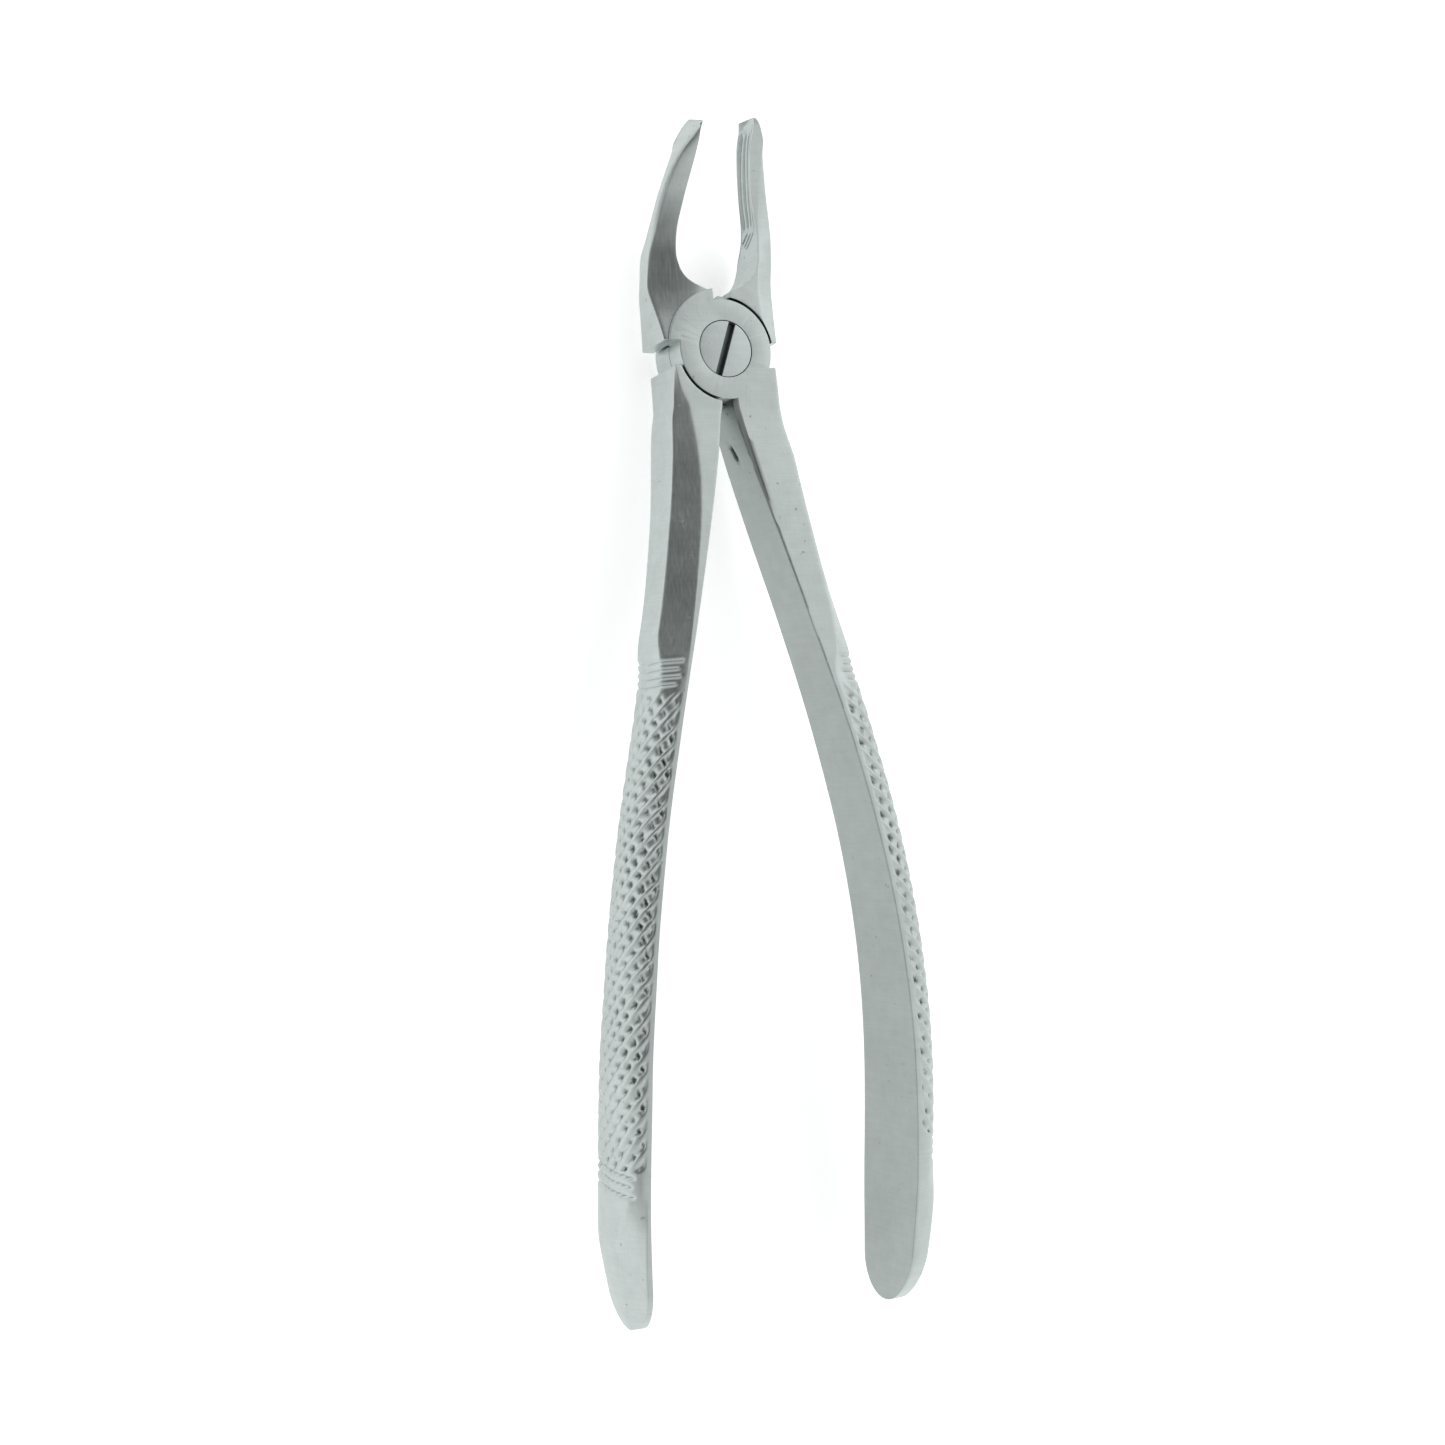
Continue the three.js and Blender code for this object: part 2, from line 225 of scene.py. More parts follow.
def turned(name, profile, steps=160):
    """A round solid about the pivot: a profile of (radius, z) that starts and ends on the axis, with each of
    its points spun to (radius * cos(turn), radius * sin(turn), z)."""
    profile = np.array(profile, float)
    turn = np.linspace(0, 2 * np.pi, steps, endpoint=False)
    body = profile[1:-1]
    rings = np.stack([np.outer(body[:, 0], np.cos(turn)), np.outer(body[:, 0], np.sin(turn)),
                      np.repeat(body[:, 1:], steps, 1)], -1)
    return skin(name, rings)


def combine(base, other, how):
    """Joins other to base, or cuts it away, and removes other. how is UNION, DIFFERENCE or INTERSECT."""
    step = base.modifiers.new(how, "BOOLEAN")
    step.operation = how
    step.solver = "MANIFOLD"
    step.object = other
    done = bpy.data.meshes.new_from_object(base.evaluated_get(bpy.context.evaluated_depsgraph_get()))
    base.modifiers.clear()
    base.data = done
    bpy.data.objects.remove(other)
    return base


# %% [markdown]
# ## The handles
# Each handle starts square at its shoulder, narrows to a flat shank with a long bevel,
# and swells into a half-round grip. Modelling this with a box and many loop cuts is
# possible, but the stations say exactly what a maker would measure with a caliper.

# %% Stations of a handle
SHOULDER_Y = -2.6
HANDLE_END_Y = {"front": -140.1, "rear": -138.2}
ROUND_END = {"front": 6.8, "rear": 5.5}
INNER_X = steady_curve([(-2.6, 1.2), (-8, 1.28), (-10, 1.75), (-12, 2.15), (-16, 3.0), (-24, 5.0),
                        (-40, 9.3), (-56, 13.6), (-72, 17.2), (-88, 19.7), (-104, 21.1), (-120, 21.5),
                        (-132, 21.0), (-141, 20.2)])
FRONT_Z = steady_curve([(-2.6, 4.2), (-8, 4.2), (-16, 4.9), (-24, 5.6), (-40, 6.5), (-56, 6.9), (-72, 6.68),
                        (-88, 5.86), (-104, 4.07), (-120, 1.2), (-132, -1.6), (-141, -3.8)])
DEPTH = steady_curve([(-2.6, 8.4), (-8, 8.45), (-16, 9.4), (-24, 10.1), (-40, 10.6), (-56, 11.5),
                      (-72, 12.2), (-88, 13.1), (-104, 14.2), (-120, 14.75), (-132, 13.3), (-141, 11.5)])
THICKNESS = steady_curve([(-2.6, 7.2), (-8, 7.5), (-16, 6.8), (-24, 6.1), (-40, 5.3), (-56, 5.4), (-72, 5.4),
                          (-88, 5.3), (-104, 5.2), (-120, 4.8), (-132, 4.0), (-141, 3.0)])
TWIST = steady_curve([(-2.6, 0), (-40, 0), (-88, 2.2), (-120, 3.0), (-141, 3.0)])
GRIP_ROUNDING = steady_curve([(-2.6, 0), (-41, 0.05), (-47, 0.6), (-56, 1), (-118, 1), (-126, 0.25),
                              (-141, 0.15)])
PLAIN_STRIP = steady_curve([(-2.6, 7.2), (-8, 7.2), (-24, 5.4), (-32, 4.5), (-40, 3.5), (-44, 2.6),
                            (-48, 0.9), (-56, 0.45), (-141, 0.45)])
WEDGE_STRIP = steady_curve([(-2.6, 7.2), (-6, 6.5), (-9, 5.1), (-14, 3.7), (-21, 2.3), (-27, 1.6),
                            (-40, 0.8), (-50, 0.45), (-119, 0.45), (-130, 0.8), (-141, 0.8)])
SHANK_BEVEL = steady_curve([(-2.6, 0.02), (-8, 0.1), (-24, 0.17), (-40, 0.2), (-115, 0.2), (-130, 0.1),
                            (-141, 0.1)])
FULLNESS = {"front": 1.06, "rear": 0.84}
print("a handle is", round(float(DEPTH(-120)), 2), "mm deep where the hand closes round it")

# %% [markdown]
# ## The cut grips
# A file-cutter chases one set of slanting ridges, then crosses it with a second set. What
# is left between them are small pits. A bump texture would look right only from straight
# above, so the pattern is cut into the surface: the depth at a point is the deepest that
# neither ridge reaches. The hand-cut look comes from slow waves in both sets.

# %% The pattern of a grip
GRIP_TOP, GRIP_BOTTOM = -45.3, -117.7
CUT_DEPTH = 0.7
LONG_PITCH, LONG_SLOPE = 2.7, 0.95
CROSS_PITCH, CROSS_SLOPE = 4.8, 2.2
RING_CUTS = [-45.6, -46.7, -47.8, -48.9]
LOWER_RING_CUTS = [-115.2, -116.5, -117.9]
RING_REACH, RING_HALF_WIDTH = 6.6, 0.26
print("the grip is", round(GRIP_TOP - GRIP_BOTTOM, 1), "mm long")


def ridge(phase, sharpness):
    """1 on each ridge line, 0 halfway to the next: |cos(pi * phase)| to a power."""
    return np.abs(np.cos(np.pi * phase)) ** sharpness


def grip_cut(y, c, seed):
    """The cut depth and how much of it is a pit, at height y and distance c round the outer side from its
    middle: a ridge pattern along y - 0.95 * c, and pits where a second one along y + 2.2 * c is low."""
    wave = 0.035 * np.sin(0.61 * y + 0.9 * c + seed) + 0.03 * np.sin(1.7 * y - 1.3 * c + 2 * seed)
    down = (GRIP_TOP - y) / (GRIP_TOP - GRIP_BOTTOM)
    long_phase = (y - LONG_SLOPE * c) / LONG_PITCH + wave
    cross_phase = (y + CROSS_SLOPE * c) / CROSS_PITCH + 0.7 * wave + 0.06 * np.sin(0.9 * y + seed)
    bar = np.clip(1.2 * ridge(long_phase, 4.5 - 2.7 * ease(down, 0.25, 0.95)), 0, 1)
    pit = (1 - bar) * (1 - ridge(cross_phase, 0.8)) ** 1.3
    uneven = 0.8 + 0.2 * np.sin(2.9 * y + 1.1 * c + seed) * np.sin(1.3 * y - 2.3 * c)
    strength = uneven * (0.5 + 0.5 * ease(down, 0.02, 0.25))
    strength *= ease(-y, 4.2 - GRIP_TOP, 5.0 - GRIP_TOP)
    strength *= 1 - ease(-y, -GRIP_BOTTOM - 2.6, -GRIP_BOTTOM - 1.9)
    return CUT_DEPTH * strength * (0.45 * (1 - bar) + 0.75 * pit), pit * strength


def ring_cuts(y, c, places, depth, slant):
    """Round-bottomed cuts across the bar, in turn long and short: depth * exp(-(distance / half width) ** 2)
    at each place."""
    total = 0 * c + 0 * y
    for k, at in enumerate(places):
        reach = RING_REACH - 0.5 * (k % 2)
        line = at + 0.13 * np.maximum(1 - c, 0) - slant * np.maximum(c, 0)
        cut = depth * np.exp(-((y - line) / RING_HALF_WIDTH) ** 2)
        total = np.maximum(total, cut * (1 - ease(np.abs(c), reach, reach + 1)))
    return total


# %% [markdown]
# Near the rounded end of a handle the rings shrink along a quarter circle. At the
# shoulder the last few rings shrink by a sixth of a millimetre, so the end has a soft
# edge that catches the light. Both are easier to get right here than with a Bevel
# modifier, which would also find the edges of the grip.

# %% Round ends and soft shoulders
SHOULDER_STEPS = np.array([0, 0.02, 0.06, 0.11, 0.17])
SHOULDER_WEAR = 0.16
LEAST_LEFT = 0.06


def round_end(y, end_y, length):
    """The share of a section left at y near a round end: a quarter circle, never quite closed."""
    run = np.clip(1 - np.abs(end_y - y) / length, 0, 1)
    return np.maximum(np.sqrt(1 - run * run), LEAST_LEFT)


def shoulder_wear(y, shoulder_y):
    """How far a ring shrinks at the shoulder: the whole wear at the very end, along a quarter circle."""
    run = np.clip(1 - np.abs(y - shoulder_y) / SHOULDER_WEAR, 0, 1)
    return SHOULDER_WEAR * (1 - np.sqrt(1 - run * run))


def shrink(ring, amount):
    """Moves each ring inwards by its own amount in millimetres."""
    return ring - outward(ring) * amount[:, None, None]


# %% [markdown]
# The inner face of a handle isn't square to its front. It leans a little, and the corner
# that leads to the joint is cut off at 45 degrees, which shows as a thin dark line, with painted
# shade on it as well. The right shank also has a small lens-shaped nick, painted darker as shade.

# %% Lean, chamfer and nick
CHAMFER = steady_curve([(-2.6, 0.3), (-7.5, 0.65), (-14, 0.55), (-20, 0.4), (-27, 0.18), (-40, 0.14),
                        (-141, 0.12)])
LEAN = steady_curve([(-2.6, 0), (-8, 0.15), (-15, 0.55), (-24, 0.7), (-40, 0.55), (-60, 0.3), (-90, 0.2),
                     (-141, 0)])
FRONT_THIN = steady_curve([(-2.6, 0.1), (-5.6, 0.2), (-8.3, 0.33), (-11, 0.6), (-13.8, 0.44), (-16.5, 0.2),
                           (-20, 0.08), (-26, 0), (-141, 0)])
CROTCH_SHIFT = steady_curve([(-2.6, -0.4), (-9, -0.4), (-15, -0.15), (-24, 0), (-141, 0)])
CHAMFER_SHOWS = 12
NICK_AT, NICK_SIZE, NICK_DEPTH, NICK_SLANT = (-14.5, 5.2), (1.5, 0.3), 0.6, 0.35


def chamfered(ring, size, depth, which):
    """Cuts the inner corner off a ring at 45 degrees, in front on the front half and behind on the rear
    half. Returns how much of each point is chamfer, from 0 to 1."""
    b = ring[..., 1] if which == "front" else depth[:, None] - ring[..., 1]
    inner_edge = ring[..., 0].min(1, keepdims=True)
    cut = np.maximum(size[:, None] - (ring[..., 0] - inner_edge) - b, 0) / 2
    ring[..., 0] += cut
    ring[..., 1] += cut if which == "front" else -cut
    return np.clip(cut * CHAMFER_SHOWS, 0, 1)


def nick(y, b):
    """A slanting oval dent, 1 at its middle: exp of minus the squares of two distances over two sizes."""
    across = b - NICK_SLANT * (y - NICK_AT[0])
    return np.exp(-((y - NICK_AT[0]) / NICK_SIZE[0]) ** 2 - ((across - NICK_AT[1]) / NICK_SIZE[1]) ** 2)


# %% [markdown]
# Now the stations are strung together. Rings are close where there is detail: five at
# the shoulder, one every 0.28 mm on the grip, and a run along the round end. The end of
# the handle on the left is ground to one long facet, so its front bevel grows there.

# %% The rings of a handle
INNER_POINTS = 30
INNER = slice(STRIP_POINTS * 2 + OUTER_POINTS, None)
OUTER = slice(STRIP_POINTS + 1, STRIP_POINTS + OUTER_POINTS - 1)
REAR_TAPER = 0.28
END_FACET = 0.34
END_THINS = 0.35


def handle_levels(end_y, round_length):
    """The heights of the rings, from the shoulder down to the end, where they follow a quarter sine."""
    arc = round_length * (1 - np.sin(np.linspace(0, np.pi / 2, 34)))
    return np.concatenate([SHOULDER_Y - SHOULDER_STEPS, np.arange(-3.2, GRIP_TOP + 0.6, -0.7),
                           np.arange(GRIP_TOP + 0.6, GRIP_BOTTOM - 1.2, -0.28),
                           np.arange(GRIP_BOTTOM - 1.5, end_y + round_length + 0.4, -0.6), end_y + arc])


def handle_rings(y, left, which):
    """The rings before the grip is cut, their depth, and how much of each point is chamfer."""
    depth, rounding, front_bevel = DEPTH(y), GRIP_ROUNDING(y), SHANK_BEVEL(y)
    strips, thinner, fuller = (PLAIN_STRIP(y), WEDGE_STRIP(y)), FRONT_THIN(y), rounding
    if which == "rear":
        depth = depth * (1 - REAR_TAPER * ease(-y, 118, 140))
        front_bevel = front_bevel + END_FACET * ease(-y, 118, 127)
        strips, thinner, fuller = strips[::-1], 0, np.maximum(rounding, ease(-y, 100, 110))
    thickness = (THICKNESS(y) - thinner) * (1 + (FULLNESS[which] - 1) * fuller)
    thickness *= 1 - END_THINS * (1 - left)
    deep = depth * left
    ring = bar_outline(deep, thickness, *strips, front_bevel, SHANK_BEVEL(y), rounding, INNER_POINTS)
    leaning = -ring[..., 1] / deep[:, None]
    if which == "front":
        leaning = -leaning - 1
    ring[..., 0] += LEAN(y)[:, None] * leaning * (1 - ring[..., 0] / thickness[:, None])
    return ring, depth, chamfered(ring, CHAMFER(y) * ease(left, 0.2, 0.9), deep, which)


# %% [markdown]
# The grip is cut into these rings along their own outward direction, so the ridges stand
# square on the round side. Each point also gets a painted shade value: the pits of the grip
# and the chamfer are painted dark, and the inner face is painted darker than the ground faces, as shade
# between the handles.

# %% A handle with its grip
GRIP_SEED = {"front": 1.3, "rear": 4.1}
RING_DEPTH, LOWER_RING_DEPTH, LOWER_RING_SLANT = 0.3, 0.38, 0.2
# Painted shade: how dark the colour is made in the grip pits, on the chamfer, in the nick and on the inner
# face.
PIT_SHADE, CHAMFER_SHADE, NICK_SHADE, INNER_SHADE = 0.85, 0.6, 0.8, 0.38


def cut_grip(ring, y, seed):
    """Cuts the outer side by the grip pattern, over the distance round it from its middle; returns the
    painted shade of the pits.
    """
    step = np.linalg.norm(np.diff(ring[:, OUTER], axis=1), axis=-1)
    run = np.concatenate([np.zeros((len(y), 1)), np.cumsum(step, 1)], 1)
    total = run[:, -1:]
    c = total / 2 - run
    edge = ease(run, 0.05, 0.5) * ease(total - run, 0.05, 0.5)
    cut, pit = grip_cut(y[:, None], c, seed)
    cut += ring_cuts(y[:, None], c, RING_CUTS, RING_DEPTH, 0)
    cut += ring_cuts(y[:, None], c, LOWER_RING_CUTS, LOWER_RING_DEPTH, LOWER_RING_SLANT)
    ring[:, OUTER] -= outward(ring)[:, OUTER] * (cut * edge)[..., None]
    painted_shade = np.zeros(ring.shape[:2])
    painted_shade[:, OUTER] = PIT_SHADE * ease(pit * edge, 0.25, 0.6)
    return painted_shade


def handle(side, which):
    """One handle as a closed solid. The rear half has the wedge-shaped bevel in front, the front half has it
    behind."""
    end_y, round_length = HANDLE_END_Y[which], ROUND_END[which]
    y = handle_levels(end_y, round_length)
    left = round_end(y, end_y, round_length)
    ring, depth, chamfer = handle_rings(y, left, which)
    painted_shade = cut_grip(ring, y, GRIP_SEED[which])
    # Painted shade on the inner face and along the chamfer.
    painted_shade[:, INNER] = INNER_SHADE
    painted_shade = np.maximum(painted_shade, chamfer * CHAMFER_SHADE * ease(y, -75, -25)[:, None])
    inner_x = INNER_X(y)
    if which == "front":
        inner_x = inner_x + CROTCH_SHIFT(y)
        dent = nick(y[:, None], ring[:, INNER, 1])
        ring[:, INNER, 0] += NICK_DEPTH * dent
        # The nick is painted darker, as shade in the dent.
        painted_shade[:, INNER] = np.maximum(painted_shade[:, INNER], NICK_SHADE * dent)
    ring = shrink(ring, shoulder_wear(y, SHOULDER_Y))
    z = FRONT_Z(y) - depth * (1 - left) / 2
    return skin(f"{which}_handle", place(ring, side, inner_x, y, z, np.radians(TWIST(y))), painted_shade)


# %% [markdown]
# ## The beaks
# A beak is the same kind of bar, bent outwards from the joint and forwards at the tip.
# Its front face falls away towards the outer edge. That fall is given as a depth over x
# and not as a share of the width, because the width changes quickly where the beak leaves
# the joint, and a share would fold the face there.

# %% Stations of a beak
BEAK_SHOULDER_Y = 1.1
BEAK_END_Y = 32.66
BEAK_ROUND = 1.4
HALF_GAP = 1.35
BEAK_INNER_X = steady_curve([(1.1, HALF_GAP), (8.4, HALF_GAP + 0.05), (8.9, 2.6), (9.6, 4.2), (10.6, 5.5),
                             (12, 6.4), (14, 6.75), (17, 6.45), (21.5, 5.4), (25, 4.6), (28, 4.1), (30, 3.9),
                             (33, 3.88)])
BEAK_OUTER_X = steady_curve([(1.1, 9.2), (6, 9.3), (10, 9.5), (14, 9.75), (17, 9.5), (21.5, 8.8), (25, 8.0),
                             (28, 7.1), (30, 6.2), (33, 4.6)])
BEAK_ROOT = {"front": 0.35, "rear": -0.6}
ROOT_FADE = steady_curve([(1.1, 1), (8, 1), (14, 0.3), (18, 0), (32, 0)])
BEAK_FRONT_Z = steady_curve([(1.1, 4.2), (9, 4.2), (14, 4.25), (17, 4.6), (21.5, 5.5), (25, 6.9), (28, 8.5),
                             (32, 10.84), (33, 11.3)])
BEAK_DEPTH = steady_curve([(1.1, 8.4), (7, 8.38), (9, 8.3), (14, 7.25), (17, 5.4), (21.5, 3.8), (25, 3.6),
                           (32, 4.3)])
NEAR_DROP = steady_curve([(1.1, 0.15), (3, 0.55), (6, 1.45), (10, 2.3), (14, 2.35), (18, 1.75), (22, 1.05),
                          (26, 0.5), (32, 0.2)])
DROP_FROM_X, DROP_POWER = 3.4, 1.25
ROOT_DROP = 0.12
OUTER_SLANT = steady_curve([(1.1, 0), (5, -0.5), (9.7, -1.1), (14, -0.7), (18, -0.15), (21.5, 0.1),
                            (25, 0.35), (28, 0.8), (31, 1.3), (32, 1.4)])
INNER_SLANT = steady_curve([(1.1, 0), (9, 0), (14, 0.2), (20, 0.42), (32, 0.5)])
INNER_SHIFT = steady_curve([(1.1, 0), (8, 0), (10.6, 0.25), (12, 0.4), (14, 0.4), (17, 0.25), (21, 0.1),
                            (25, 0), (32, 0)])
FAR_BEVEL = steady_curve([(1.1, 0.02), (6, 0.1), (11, 0.24), (21.5, 0.24), (32, 0.24)])
BEAK_ROUNDING = steady_curve([(1.1, 0), (8, 0.05), (12, 0.3), (17, 0.6), (32, 0.7)])
NEAR_STRIP, NO_BEVEL = 0.2, 0.02
FAR_STRIP_X, FAR_STRIP_RANGE = 6.35, (0.3, 5.0)
BEAK_INNER_POINTS = 64


def inner_line(y):
    """How far the inner face is from the middle at height y."""
    return BEAK_INNER_X(y) - INNER_SHIFT(y)


print("the beaks are", round(2 * float(inner_line(14)), 1), "mm apart at their widest")


def beak_levels():
    """The heights of the rings: close together where the beak leaves the joint, and along a quarter sine at
    the tip."""
    arc = BEAK_ROUND * (1 - np.sin(np.linspace(0, np.pi / 2, 26)))
    return np.concatenate([BEAK_SHOULDER_Y + SHOULDER_STEPS, np.arange(1.6, 8.3, 0.45),
                           np.arange(8.35, 11, 0.09), np.arange(11, BEAK_END_Y - BEAK_ROUND - 0.15, 0.24),
                           BEAK_END_Y - arc])


def beak_rings(y, deep, thickness, outer_x, which):
    """The rings before they are hollowed, and how far out and how far behind each point is, from 0 to 1.
    The front face falls by NEAR_DROP * across ** 1.25: across is 0 at DROP_FROM_X and 1 at the ridge."""
    near_strip, no_bevel = np.full(len(y), NEAR_STRIP), np.full(len(y), NO_BEVEL)
    far_strip = np.clip(FAR_STRIP_X - inner_line(y), *FAR_STRIP_RANGE)
    sides = (near_strip, far_strip, no_bevel, FAR_BEVEL(y))
    if which == "rear":
        sides = (far_strip, near_strip, FAR_BEVEL(y), no_bevel)
    ring = bar_outline(deep, thickness, *sides, BEAK_ROUNDING(y), BEAK_INNER_POINTS)
    out = ring[..., 0] / thickness[:, None]
    behind = ring[..., 1] / deep[:, None]
    if which == "rear":
        behind = 1 - behind
    inner_slant, outer_slant = INNER_SLANT(y)[:, None], OUTER_SLANT(y)[:, None]
    ring[..., 0] += (1 - out) * inner_slant * behind - out * outer_slant * (1 - behind)
    width = outer_x - OUTER_SLANT(y) - DROP_FROM_X
    across = np.clip((inner_line(y)[:, None] + ring[..., 0] - DROP_FROM_X) / width[:, None], 0, 1)
    drop = NEAR_DROP(y)[:, None] * across ** DROP_POWER + ROOT_DROP * (1 - ease(y, 9, 13))[:, None]
    drop *= 1 - behind
    ring[..., 1] += drop if which == "front" else -drop
    return ring, out, behind


# %% [markdown]
# The inner face of a beak is gouged hollow so that it holds a round crown, and fine
# grooves run along it so that it doesn't slip. Both move the inner points of each ring,
# which is surer than carving with a boolean: the face stays one even grid.

# %% Hollow, grooves and file strokes
GROOVE_PITCH = 0.76
GROOVE_DEPTH = 0.2
# Painted shade: how dark the colour is made at the foot of the grooves.
GROOVE_SHADE = 0.6
HOLLOW_DEPTH = 0.42
RIM = 0.3


def file_strokes(y, off):
    """Three short slanting strokes at the foot of the grooves, as a slipped file leaves them: a bell curve
    of the distance to each line, faded at both its ends."""
    total = 0 * y + 0 * off
    for k in range(3):
        away = off + 0.9 * (y - 17.0) - 0.95 * k + 0.3
        length = ease(y, 15.9 + 0.4 * k, 16.2 + 0.4 * k) * (1 - ease(y, 17.6 + 0.2 * k, 17.9 + 0.2 * k))
        total = np.maximum(total, np.exp(-(away / 0.12) ** 2) * length)
    return total


def hollow(ring, y, middle, which):
    """Gouges the inner face by HOLLOW_DEPTH * (1 - (distance / half width) ** 2), grooves it by a row of
    ridges, and returns the painted shade of the grooves."""
    off = ring[:, INNER, 1] - middle[:, None]
    bowl = np.clip(1 - (off / (middle[:, None] - RIM)) ** 2, 0, 1)
    gouged = ease(y, 12, 20) * (1 - ease(y, BEAK_END_Y - 1.4, BEAK_END_Y - 0.3))
    grooved = ease(y, 18.4, 19.2) * (1 - ease(y, BEAK_END_Y - 1.9, BEAK_END_Y - 0.9))
    groove = (1 - ridge(off / GROOVE_PITCH, 0.45)) * ease(bowl, 0.02, 0.2) * grooved[:, None]
    if which == "rear":
        groove = np.maximum(groove, file_strokes(y[:, None], off))
    ring[:, INNER, 0] += HOLLOW_DEPTH * bowl * gouged[:, None] + GROOVE_DEPTH * groove
    painted_shade = np.zeros(ring.shape[:2])
    painted_shade[:, INNER] = GROOVE_SHADE * ease(groove, 0.2, 0.9)
    return painted_shade


# %% [markdown]
# The tip of the left beak slopes down to its inside and front. A slope could be cut with
# a plane, but the edge would be sharp. Instead each point slides down the beak's own
# curves: it drops, and takes the x and z that the beak has at its new height.

# %% One beak
TIP_LEAN = {"front": (0.5, 0.2), "rear": (0.1, 0.05)}
TIP_NARROWS, TIP_THINS = 0.4, 0.3


def lean_tip(points, side, y, inwards, forwards):
    """Slides points down by inwards + forwards, fading in from 26 mm to 32 mm, along the beak's curves."""
    lowered = y[:, None] - (inwards + forwards) * ease(y, 26, 32)[:, None]
    points[..., 0] += side * (inner_line(lowered) - inner_line(y)[:, None])
    points[..., 1] = lowered
    points[..., 2] += BEAK_FRONT_Z(lowered) - BEAK_FRONT_Z(y)[:, None]
    return points


def beak(side, which):
    """One beak as a closed solid: rings, hollowed and grooved, with the tip leant."""
    y = beak_levels()
    left = round_end(y, BEAK_END_Y, BEAK_ROUND)
    depth = BEAK_DEPTH(y)
    deep = depth * (1 - TIP_NARROWS * (1 - left))
    outer_x = BEAK_OUTER_X(y) + BEAK_ROOT[which] * ROOT_FADE(y)
    thickness = (outer_x - inner_line(y)) * (1 - TIP_THINS * (1 - left))
    ring, out, behind = beak_rings(y, deep, thickness, outer_x, which)
    painted_shade = hollow(ring, y, deep / 2, which)
    ring = shrink(ring, shoulder_wear(y, BEAK_SHOULDER_Y))
    z = BEAK_FRONT_Z(y) - (depth - deep) / 2
    points = place(ring, side, inner_line(y), y, z, np.zeros(len(y)))
    inwards = TIP_LEAN[which][0] * (1 - out) * thickness[:, None]
    forwards = TIP_LEAN[which][1] * (1 - behind) * depth[:, None]
    return skin(f"{which}_beak", lean_tip(points, side, y, inwards, forwards), painted_shade)


# %% [markdown]
# ## The joint
# Each half is cut down to a round disc that turns in a round recess of the other. The
# edges are not bevelled afterwards: the profile of the disc has a rounded rim, and the
# tool that cuts the recess flares at its mouth, so the soft edge is part of the cut.

# %% Discs, recesses and holes
JOINT_HALF = 4.2
LAP_Z = 0.5
DISC_R = 7.4
RUNNING_GAP = 0.38
LAP_GAP = 0.12
HEAD_R = 4.15
HEAD_DEPTH = 2.0
HEAD_GAP = 0.09
SCREW_SHANK_R = 2.3
BORE_GAP = 0.05
FACE_R = 9.0
EDGE, THIN_EDGE = 0.14, 0.02
QUARTER = np.linspace(0, np.pi / 2, 6)


def rounded_puck(name, radius, low, high, edge_low, edge_high):
    """A disc between two heights with a quarter-round on each rim."""
    lower = [(radius - edge_low * (1 - np.sin(q)), low + edge_low * (1 - np.cos(q))) for q in QUARTER]
    upper = [(radius - edge_high * (1 - np.cos(q)), high - edge_high * (1 - np.sin(q))) for q in QUARTER]
    return turned(name, [(0, low), (1, low), *lower, *upper, (1, high), (0, high)])


def flared_cutter(name, radius, inside, mouth, edge=EDGE):
    """A cutter from the height inside to past the height mouth, opening by a quarter-round at the mouth."""
    way = np.sign(mouth - inside)
    flare = [(radius + edge * (1 - np.cos(q)), mouth - way * edge * (1 - np.sin(q))) for q in QUARTER]
    past = mouth + way
    foot = [(0, inside), (1, inside), (radius, inside)]
    return turned(name, [*foot, *flare, (radius + edge, past), (1, past), (0, past)])


def beak_face(side, low, high, edge_low, edge_high):
    """The round flat ground round the screw below one beak: a puck cut back to the beak's own corner."""
    puck = rounded_puck("beak_face", FACE_R, low, high, edge_low, edge_high)
    reach = 12.0
    x = side * np.array([HALF_GAP, HALF_GAP + reach])
    corner = np.array([(a, b, c) for c in (low - 1, high + 1) for a, b in
                       ((x[0], BEAK_SHOULDER_Y), (x[1], BEAK_SHOULDER_Y), (x[1], reach), (x[0], reach))])
    return combine(puck, skin("corner", corner.reshape(2, 4, 3)), "INTERSECT")


# %% [markdown]
# A forging is put together in the order a smith would see it: handle, beak and disc are
# one lump, then the recess for the other disc and the hole for the screw are cut. Each
# step is a boolean on closed skins.

# %% Two forgings


